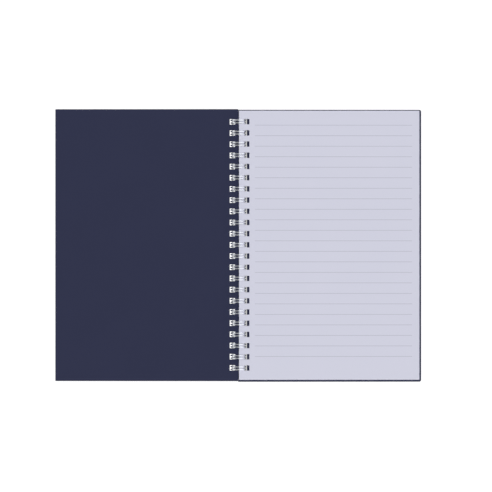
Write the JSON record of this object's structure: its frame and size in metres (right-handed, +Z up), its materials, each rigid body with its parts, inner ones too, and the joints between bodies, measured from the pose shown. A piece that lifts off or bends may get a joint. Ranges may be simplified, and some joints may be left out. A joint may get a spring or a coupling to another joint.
{
  "type": "open spiral notebook",
  "caption": "Notebook lying open at its first ruled leaf, with board covers and a block of leaves that turn on a twin-loop wire binding.",
  "frame": {"origin": "on the table plane under the wire's axis, midway between the two covers' fore edges", "axes": "+X across the open book towards the back cover's fore edge, +Y along the wire towards the head, +Z up"},
  "size_m": [0.277, 0.2064, 0.0119],
  "materials": {
    "front_board": "matt navy cover paper on board",
    "back_board": "matt navy cover paper on board",
    "paper": "uncoated pale paper, ruled in thin grey lines",
    "wire": "bright plated steel wire"
  },
  "bodies": {
    "back": {"back_cover": "back_board", "wire_binding": "wire"},
    "leaves": {"leaf_block": "paper"},
    "front": {"front_cover": "front_board"}
  },
  "joints": [
    {"name": "front_cover_turn", "type": "hinge", "parent": "back", "child": "front", "pos_m": [0, 0, 0.00594], "axis": [0, 1, 0], "range_deg": [0, 181.85]},
    {"name": "leaf_turn", "type": "hinge", "parent": "back", "child": "leaves", "pos_m": [0, 0, 0.00594], "axis": [0, 1, 0], "range_deg": [-181.85, 0]}
  ]
}
